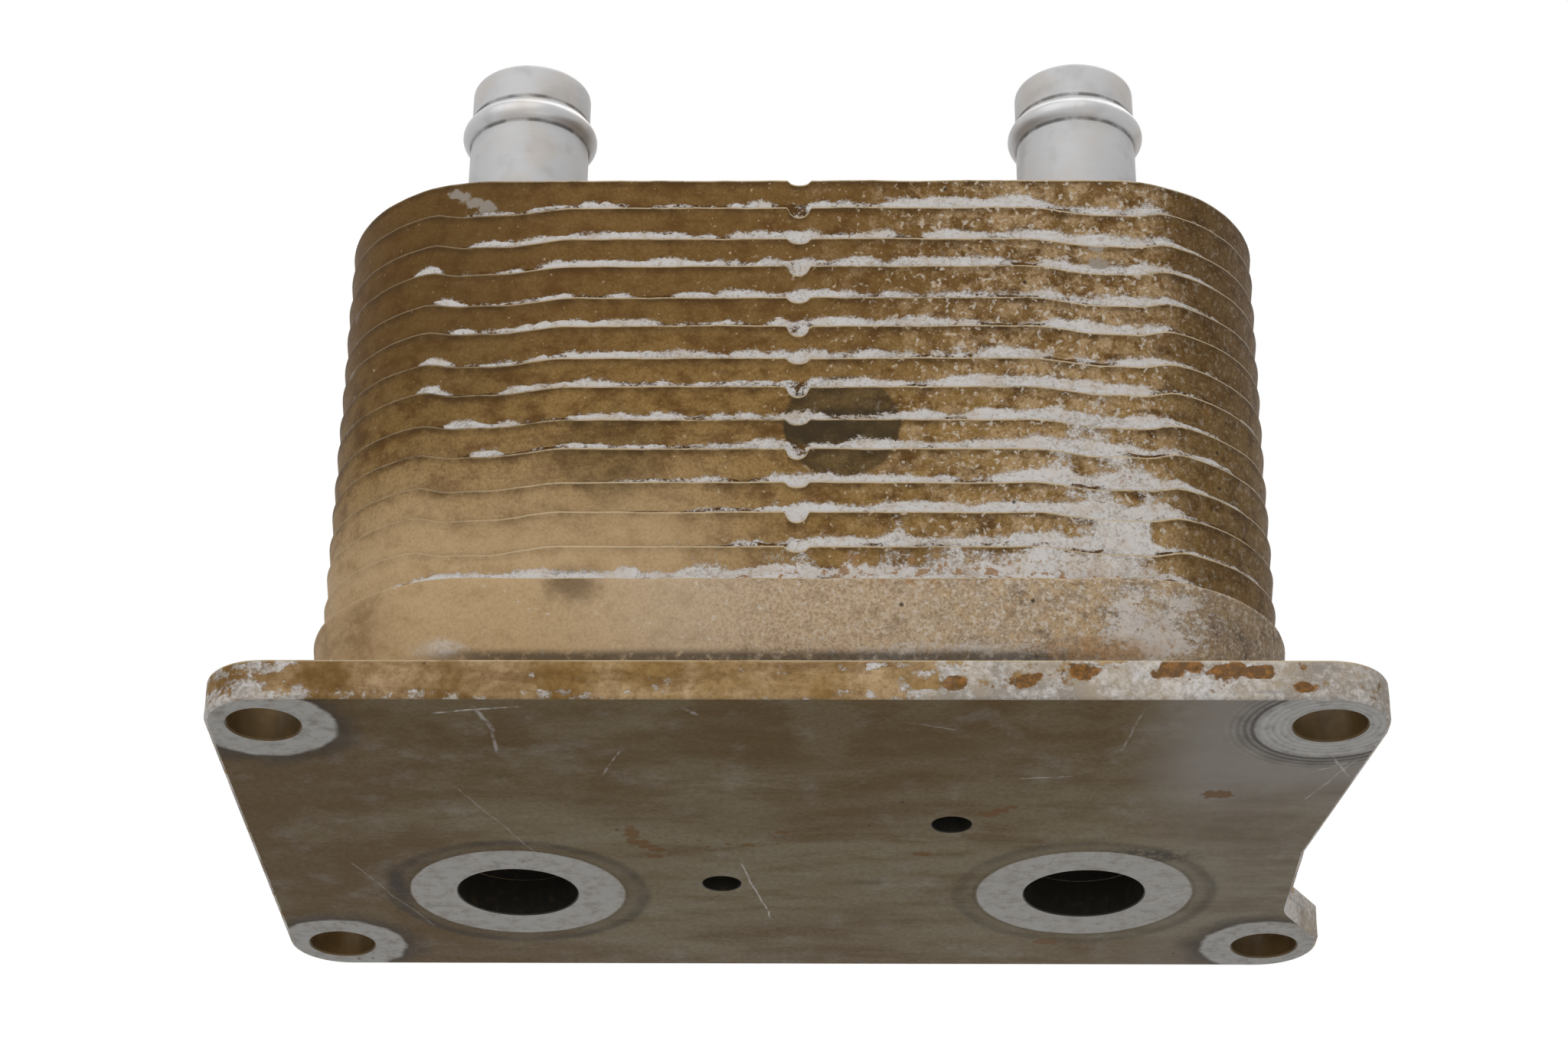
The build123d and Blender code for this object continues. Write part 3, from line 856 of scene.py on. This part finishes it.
def wall_rays(sizes):
    """Points round a dish's rim, closer together near the notch, and the way that a wall grows at each."""
    near, far = (
        outline(dish_corners(sizes), growth, spacing=0.42 * MM, arc_steps=26, crowding=0.5)
        for growth in (0.0, 1 * MM)
    )
    return near, [(outer - inner) / MM for inner, outer in zip(near, far)]


def wall_wander(sizes, point, height):
    """How far a pressed wall stands out from its even shape."""
    return lumps(Vector((point.x, point.y, height * 0.6)), 9 * MM) * sizes.unevenness


def wall_slope(sizes):
    """How far a wall leans out for each unit of height, so that each dish nests in the one below."""
    first, second, third = (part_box(node)[0].z for node in DISHES[1:4])
    return (sizes.dish_sheet + NEST_GAP) / min(second - first, third - second)


def rim_heights(sizes, number, stations, notched=True):
    """Height of a rim at each station: level, but for a wave near both ends of a long side and a notch in front."""
    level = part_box(DISHES[number - 1])[1].z
    wavy = 1 < number < len(DISHES)
    depth = sizes.shallow_notch if number % 2 == 0 else sizes.deep_notch
    half = sizes.notch_width / 2
    heights = []
    for point in stations:
        far = abs(point.x)
        dip = 0.0
        if wavy:
            sunk = sizes.wave_depth * smooth(far, sizes.wave_start, sizes.wave_low)
            dip += sunk * (1 - smooth(far, sizes.wave_rise, sizes.wave_end))
        if notched and number > 1 and point.y < 0:
            dip += depth * max(0.0, 1 - (far / half) ** 2) ** 0.5
        wander = lumps(Vector((point.x, point.y, level * 3)), 6 * MM) * sizes.unevenness
        wander += lumps(Vector((point.x, point.y, level * 5)), 2.2 * MM) * 0.5 * sizes.unevenness
        heights.append(level - dip + wander)
    return heights


def residue_amount(point, number):
    """How much residue lies on a seam at one place, from 0 to 1: little on the left, much in the middle and right."""
    x = point.x / MM
    patches = lumps(Vector((point.x, point.y, number * 0.031)), 5 * MM)
    patches += 0.5 * lumps(Vector((point.x, point.y, number * 0.013)), 1.6 * MM)
    start, full = RESIDUE_STARTS.get(number, HIGHER_RESIDUE_START)
    side = smooth(x, start, full) * (1 - 0.5 * smooth(x, 41, 55))
    amount = 0.65 * patches * (0.25 + 0.75 * side) + 0.88 * side - 0.08
    if point.y < 0:
        for at, middle, reach in RESIDUE_BLOBS:
            if at == number:
                amount = max(amount, 1.1 - ((x - middle) / reach) ** 2 + 0.3 * patches)
    return min(max(amount, 0.0), 1)


def wall_rows(growth_at, level, lows, bottom, sheet, bend):
    """Rows of (growths, heights) for a pressed wall: up its outside, over the lip and down its inside."""
    rows = []
    count = len(lows)
    for inward, up in quarter_turn(4):
        rows.append(([growth_at(bottom + bend) - bend * inward] * count, [bottom + bend * up] * count))
    steps = max(4, round((level - bottom - bend) / (0.75 * MM)))
    for step in range(1, steps + 1):
        share = step / (steps + 1)
        heights = [bottom + bend + (rim - sheet / 2 - bottom - bend) * share for rim in lows]
        rows.append(([growth_at(z) for z in heights], heights))
    for step in range(7):
        angle = pi * step / 6
        heights = [rim - sheet / 2 + sheet / 2 * sin(angle) for rim in lows]
        rows.append(([growth_at(rim - sheet / 2) - sheet / 2 * (1 - cos(angle)) for rim in lows], heights))
    inner_bottom = bottom + sheet
    inner_bend = max(bend - sheet, 0.4 * MM)
    for step in range(1, INNER_WALL_ROWS + 1):
        share = step / (INNER_WALL_ROWS + 1)
        heights = [rim - sheet / 2 + (inner_bottom + inner_bend - rim + sheet / 2) * share for rim in lows]
        rows.append(([growth_at(z) - sheet for z in heights], heights))
    for up, inward in quarter_turn(INNER_BEND_ROWS - 1):
        growth = growth_at(inner_bottom + inner_bend) - sheet - inner_bend * inward
        rows.append(([growth] * count, [inner_bottom + inner_bend * up] * count))
    return rows


def build_dish(sizes, number, materials):
    """One pressed dish: floor, flared wall with a rounded lip, ports and collars."""
    node = DISHES[number - 1]
    low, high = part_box(node)
    slope = wall_slope(sizes)
    is_tray, is_top, is_even = number == 1, number == len(DISHES), number % 2 == 0
    sheet = sizes.tray_sheet if is_tray else sizes.dish_sheet
    floor_sheet = sizes.top_floor_sheet if is_top else sheet
    bend = sizes.tray_bend if is_tray else sizes.dish_bend
    rim_growth = sizes.tray_growth if is_tray else 0.0
    stations, rays = wall_rays(sizes)
    rims = rim_heights(sizes, number, stations)
    if is_tray:
        lower, amounts = [low.z] * len(stations), [0.0] * len(stations)
    else:
        lower = rim_heights(sizes, number - 1, stations, notched=False)
        amounts = [residue_amount(point, number - 1) for point in stations]

    def growth_at(height):
        return rim_growth - slope * (high.z - height)

    mesh = bmesh.new()
    below, above, crust = (mesh.verts.layers.float.new(name) for name in ("below_rim", "above_rim", "residue"))
    rows = wall_rows(growth_at, high.z, rims, low.z, sheet, bend)
    lift = floor_sheet - sheet
    rows[-INNER_BEND_ROWS:] = [(growths, [z + lift for z in levels]) for growths, levels in rows[-INNER_BEND_ROWS:]]
    outside = len(rows) - INNER_WALL_ROWS - INNER_BEND_ROWS
    rings = []
    for index, (growths, levels) in enumerate(rows):
        made = []
        along = zip(stations, rays, growths, levels, rims, lower, amounts)
        for point, ray, growth, height, rim, rim_below, amount in along:
            place = point + ray * (growth + wall_wander(sizes, point, height))
            vert = mesh.verts.new((place.x, place.y, height))
            if index < outside:
                vert[below], vert[above], vert[crust] = rim - height, height - rim_below, amount
            else:
                vert[below], vert[above] = FAR_FROM_RIM, FAR_FROM_RIM
            made.append(vert)
        rings.append(made)
    bridge(mesh, rings)

    oil, coolant = port_places(sizes)
    oil_radius, coolant_radius = sizes.oil_port / 2, sizes.coolant_port / 2
    top = low.z + floor_sheet
    if is_top:
        raised, raised_radius, plain, plain_radius = [], 0, coolant, coolant_radius + SPIGOT_HOLE
    elif is_even:
        raised, raised_radius, plain, plain_radius = coolant, coolant_radius, oil, oil_radius
    else:
        raised, raised_radius, plain, plain_radius = oil, oil_radius, [] if is_tray else coolant, coolant_radius
    bottom_rings, top_rings = [rings[0]], [rings[-1]]
    for centre in plain:
        hole = circle(centre, plain_radius)
        holes = [ring(mesh, hole, low.z), ring(mesh, hole, top)]
        bridge(mesh, holes, 1)
        bottom_rings.append(holes[0])
        top_rings.append(holes[1])
    for centre in raised:
        inner, outer = circle(centre, raised_radius), circle(centre, raised_radius + sizes.collar_wall)
        collar_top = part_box(DISHES[number])[0].z
        places = ((inner, low.z), (inner, collar_top), (outer, collar_top), (outer, top))
        collar = [ring(mesh, points, height) for points, height in places]
        bridge(mesh, collar, 1)
        bottom_rings.append(collar[0])
        top_rings.append(collar[-1])
    cap(mesh, bottom_rings, 0 if is_tray else 1)
    cap(mesh, top_rings, 0 if is_top else 1)
    for face in mesh.faces:
        if face.material_index == 1:
            for vert in face.verts:
                vert[below] = FAR_FROM_RIM
    return piece(node + "_pressed", mesh, materials, "core", node)


def build_seam(sizes, number, material):
    """Braze and residue in the corner between a rim and the next dish's wall."""
    slope = wall_slope(sizes)
    stations, rays = wall_rays(sizes)
    rims = rim_heights(sizes, number, stations)
    level_rims = rim_heights(sizes, number, stations, notched=False)
    level, next_level = (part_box(node)[1].z for node in DISHES[number - 1:number + 1])
    rim_growth = sizes.tray_growth if number == 1 else 0.0
    sheet = sizes.tray_sheet if number == 1 else sizes.dish_sheet

    mesh = bmesh.new()
    layer = mesh.verts.layers.float.new("residue")
    loops = [[] for _ in range(SEAM_POINTS)]
    for point, ray, rim, level_rim in zip(stations, rays, rims, level_rims):
        amount = residue_amount(point, number)
        fine = lumps(Vector((point.x, point.y, number * 0.017)), 0.8 * MM)
        climb = sizes.braze_height * (0.06 + 0.94 * amount) * (1 + 0.45 * fine)
        reach = min(sheet, 0.7 * MM) * (0.12 + 0.72 * amount + 0.18 * fine)
        lip = rim_growth - slope * (level - rim)
        wall_foot = -slope * (next_level - rim)
        wall_top = -slope * (next_level - level_rim - climb)
        wander = wall_wander(sizes, point, rim)
        out = wall_foot + min(reach, lip - wall_foot + 0.05 * MM)
        section = (
            (wall_foot - 0.2 * MM, rim - 0.7 * MM),
            (out - 0.12 * MM, rim - 0.35 * MM),
            (out, rim + 0.02 * MM),
            (wall_foot + (out - wall_foot) * 0.8, rim + (level_rim + climb - rim) * (0.5 + 0.2 * fine)),
            (wall_top + 0.12 * MM, level_rim + climb * 0.86),
            (wall_top + 0.01 * MM, level_rim + climb),
            (wall_top - 0.25 * MM, level_rim + climb * 0.9),
        )
        for loop, (growth, height) in zip(loops, section):
            place = point + ray * (growth + wander)
            vert = mesh.verts.new((place.x, place.y, height))
            vert[layer] = amount
            loop.append(vert)
    bridge(mesh, loops, closed=True)
    return piece(f"braze_seam_{number:02d}", mesh, [material], "core")


def flange_corners(sizes):
    """Corners of the flange, with their radius."""
    low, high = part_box("mounting_flange")
    right = high.x - sizes.relief_depth
    round_corner, bend = sizes.flange_corner, sizes.relief_bend
    back = high.y - BACK_EAR
    return [
        (high.x, low.y, round_corner),
        (high.x, low.y + FRONT_EAR, bend),
        (right, back - FLAT_START, bend),
        (right, back - FLAT_END, bend),
        (high.x, back, EAR_BEND),
        (high.x, high.y, round_corner),
        (low.x, high.y, round_corner),
        (low.x, low.y, round_corner),
    ]


def build_flange(sizes, materials):
    """Flange with rounded edges and slightly broken hole edges."""
    low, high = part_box("mounting_flange")
    corners = flange_corners(sizes)
    edge = sizes.edge_round
    mesh = bmesh.new()
    rows = [(-edge * across, low.z + edge * along) for across, along in quarter_turn(4)]
    rows += [(0, low.z + (high.z - low.z) * share) for share in (0.25, 0.4, 0.55, 0.7)]
    rows += [(-edge * along, high.z - edge * across) for across, along in quarter_turn(4)]
    rings = []
    for growth, height in rows:
        points = outline(corners, growth, spacing=0.8 * MM, arc_steps=12)
        for index, point in enumerate(points):
            depth = min(height - low.z, high.z - height) / edge
            wander = lumps(Vector((point.x, point.y, height * 2)), 4 * MM) * 0.05 * MM * min(depth, 1)
            points[index] = point * (1 + wander / point.length)
        rings.append(ring(mesh, points, height))
    bridge(mesh, rings, 1)

    bottom_rings, top_rings = [rings[0]], [rings[-1]]
    bolts = [(x * sizes.bolt_pitch_x / 2, y * sizes.bolt_pitch_y / 2) for x in (-1, 1) for y in (-1, 1)]
    for places, radius, broken, material in (
        (bolts, sizes.bolt_hole / 2, 0.2 * MM, 2),
        (VENTS, sizes.vent_hole / 2, 0.1 * MM, 3),
        (port_places(sizes)[0], sizes.oil_port / 2, 0.15 * MM, 3),
    ):
        for centre in places:
            wide, narrow = circle(centre, radius + broken, 64), circle(centre, radius, 64)
            hole = [
                ring(mesh, wide, low.z), ring(mesh, narrow, low.z + broken),
                ring(mesh, narrow, high.z - broken), ring(mesh, wide, high.z),
            ]
            bridge(mesh, hole, material)
            bottom_rings.append(hole[0])
            top_rings.append(hole[-1])
    cap(mesh, bottom_rings, 0)
    cap(mesh, top_rings, 1)
    return piece("mounting_flange_machined", mesh, materials, "flange", "mounting_flange")


def build_nipple(sizes, node, centre, materials):
    """Turned nipple: foot, tube, rounded bead between two grooves, rounded end and bore."""
    low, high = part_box(node)
    foot = low.z + sizes.top_floor_sheet
    radius, bore = sizes.nipple / 2, sizes.coolant_port / 2
    bead_top = high.z - sizes.nipple_end
    bead_low = bead_top - sizes.bead_length
    rise = sizes.bead / 2 - radius
    spigot = bore + SPIGOT_WALL
    foot_round, end_round = 0.75 * MM, 0.8 * MM
    profile = [(bore, low.z), (spigot, low.z), (spigot, foot)]
    profile += [(radius + foot_round * across, foot + foot_round * along) for across, along in quarter_turn(5)]
    profile += [(radius, foot + (bead_low - foot) * share) for share in (0.2, 0.4, 0.6, 0.8, 0.96)]
    profile += [(radius - 0.1 * MM, bead_low - 0.14 * MM)]
    for step in range(13):
        share = step / 12
        profile.append((radius + rise * sin(pi * share**0.9) ** 1.1, bead_low + sizes.bead_length * share))
    profile += [(radius - 0.07 * MM, bead_top + 0.14 * MM), (radius, bead_top + 0.4 * MM)]
    profile += [(radius, high.z - 2.4 * MM)]
    profile += [(radius - end_round * along, high.z - end_round * across) for across, along in quarter_turn(5)]
    profile += [(bore + 0.15 * MM, high.z), (bore, high.z - 0.2 * MM)]
    mesh = bmesh.new()
    rings = [ring(mesh, circle(centre, r, 96), z) for r, z in profile]
    bridge(mesh, rings)
    bridge(mesh, [rings[-1], rings[0]], 1)
    return piece(node + "_turned", mesh, materials, "nipple", node)


class CoolerOperator:
    """What the operators share."""

    bl_options = {"REGISTER", "UNDO"}

    @property
    def sizes(self):
        return bpy.context.scene.cooler_sizes

    @property
    def tint(self):
        return bpy.context.scene.cooler_colours


class COOLER_OT_flange(CoolerOperator, bpy.types.Operator):
    """Make the mounting flange"""

    bl_idname = "cooler.flange"
    bl_label = "Mounting flange"

    def execute(self, context):
        materials = [
            underside_material(self.tint, self.sizes),
            edge_material(self.tint),
            bore_material(self.tint, "bolt_hole", self.tint.underside_dark, 0.4),
            bore_material(self.tint, "flange_bore", self.tint.oil),
        ]
        build_flange(self.sizes, materials)
        return {"FINISHED"}


class COOLER_OT_core(CoolerOperator, bpy.types.Operator):
    """Make the tray and the dishes that are stacked in it"""

    bl_idname = "cooler.core"
    bl_label = "Tray and dishes"

    def execute(self, context):
        materials = [wall_material(self.tint), bore_material(self.tint, "port_bore", self.tint.oil)]
        for number in range(1, len(DISHES) + 1):
            build_dish(self.sizes, number, materials)
        return {"FINISHED"}


class COOLER_OT_seams(CoolerOperator, bpy.types.Operator):
    """Make the brazed seams with their flux residue"""

    bl_idname = "cooler.seams"
    bl_label = "Brazed seams"

    def execute(self, context):
        material = seam_material(self.tint)
        for number in range(1, len(DISHES)):
            build_seam(self.sizes, number, material)
        return {"FINISHED"}


class COOLER_OT_nipples(CoolerOperator, bpy.types.Operator):
    """Make the two hose nipples"""

    bl_idname = "cooler.nipples"
    bl_label = "Hose nipples"

    def execute(self, context):
        materials = [nipple_material(self.tint), bore_material(self.tint, "nipple_bore", self.tint.silver_dark, 0.6)]
        for side, centre in zip(("left", "right"), port_places(self.sizes)[1]):
            build_nipple(self.sizes, f"coolant_nipple_{side}", centre, materials)
        return {"FINISHED"}


class COOLER_OT_turbulators(CoolerOperator, bpy.types.Operator):
    """Give the turbulators between the dishes their sheet metal"""

    bl_idname = "cooler.turbulators"
    bl_label = "Turbulators"

    def execute(self, context):
        material = mill_material(self.tint)
        for node in TURBULATORS:
            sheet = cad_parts[node]
            sheet.data.materials.clear()
            sheet.data.materials.append(material)
        return {"FINISHED"}


class COOLER_OT_stage(CoolerOperator, bpy.types.Operator):
    """Set up the floor, light, background and camera"""

    bl_idname = "cooler.stage"
    bl_label = "Stage"

    def execute(self, context):
        scene, stage = context.scene, context.scene.cooler_stage
        mesh = bmesh.new()
        bmesh.ops.create_grid(mesh, x_segments=1, y_segments=1, size=FLOOR_REACH)
        data = bpy.data.meshes.new("floor")
        mesh.to_mesh(data)
        mesh.free()
        data.materials.append(floor_material(self.tint))
        floor = bpy.data.objects.new("floor", data)
        floor.location.z = -0.2 * MM
        scene.collection.objects.link(floor)

        world = bpy.data.worlds.new("studio")
        world.use_nodes = True
        tree = world.node_tree
        tree.nodes.clear()
        path = add_node(tree, "ShaderNodeLightPath").outputs
        # White to the camera and in reflections, and grey as a light
        seen = path["Is Camera Ray"]
        for kind in ("Is Glossy Ray", "Is Transmission Ray"):
            seen = add_node(tree, "ShaderNodeMath", {0: seen, 1: path[kind]}, operation="MAXIMUM").outputs[0]
        light = add_node(tree, "ShaderNodeBackground", {"Color": (1, 1, 1), "Strength": stage.sky})
        white = add_node(tree, "ShaderNodeBackground", {"Color": (1, 1, 1)})
        mixed = add_node(tree, "ShaderNodeMixShader", {0: seen, 1: light.outputs[0], 2: white.outputs[0]})
        add_node(tree, "ShaderNodeOutputWorld", {"Surface": mixed.outputs[0]})
        scene.world = world

        for name, place, size, power in (
            ("front_lamp", (-0.35, -1.0, 0.35), 1.6, stage.front_lamp),
            ("top_lamp", (0.2, 0.1, 1.1), 1.2, stage.top_lamp),
            ("low_lamp", (0.2, -0.5, -0.9), 0.8, stage.low_lamp),
        ):
            lamp_data = bpy.data.lights.new(name, "AREA")
            lamp_data.size = size
            lamp_data.energy = power
            lamp = bpy.data.objects.new(name, lamp_data)
            lamp.location = place
            lamp.rotation_euler = (Vector((0, 0, 0.04)) - Vector(place)).to_track_quat("-Z", "Y").to_euler()
            scene.collection.objects.link(lamp)

        camera_data = bpy.data.cameras.new("camera")
        camera_data.lens = stage.focal_length
        camera_data.sensor_width = SENSOR_WIDTH
        camera_data.clip_start, camera_data.clip_end = 0.01, 10
        camera = bpy.data.objects.new("camera", camera_data)
        heading = Matrix.Rotation(stage.camera_heading, 4, "Z")
        turn = heading @ Matrix.Rotation(pi / 2 + stage.camera_elevation, 4, "X")
        roll = Matrix.Rotation(stage.camera_roll, 4, "Z")
        camera.matrix_world = Matrix.Translation(stage.camera_place) @ turn @ roll
        scene.collection.objects.link(camera)
        scene.camera = camera
        scene.view_settings.view_transform = "Standard"
        return {"FINISHED"}


class COOLER_PT_panel(bpy.types.Panel):
    """Lists the cooler's operators"""

    bl_idname = "COOLER_PT_panel"
    bl_label = "Oil cooler"
    bl_space_type = "VIEW_3D"
    bl_region_type = "UI"
    bl_category = "Oil cooler"

    def draw(self, context):
        for operator in OPERATORS:
            self.layout.operator(operator.bl_idname)


OPERATORS = (
    COOLER_OT_flange, COOLER_OT_core, COOLER_OT_seams, COOLER_OT_nipples, COOLER_OT_turbulators, COOLER_OT_stage,
)
CLASSES = (CoolerSizes, CoolerColours, CoolerStage, *OPERATORS, COOLER_PT_panel)


def register():
    for each in CLASSES:
        bpy.utils.register_class(each)
    bpy.types.Scene.cooler_sizes = bpy.props.PointerProperty(type=CoolerSizes)
    bpy.types.Scene.cooler_colours = bpy.props.PointerProperty(type=CoolerColours)
    bpy.types.Scene.cooler_stage = bpy.props.PointerProperty(type=CoolerStage)


def unregister():
    del bpy.types.Scene.cooler_stage
    del bpy.types.Scene.cooler_colours
    del bpy.types.Scene.cooler_sizes
    for each in reversed(CLASSES):
        bpy.utils.unregister_class(each)


def main():
    register()
    bpy.ops.cooler.flange()
    bpy.ops.cooler.core()
    bpy.ops.cooler.seams()
    bpy.ops.cooler.nipples()
    bpy.ops.cooler.turbulators()
    bpy.ops.cooler.stage()


if __name__ == "__main__":
    main()
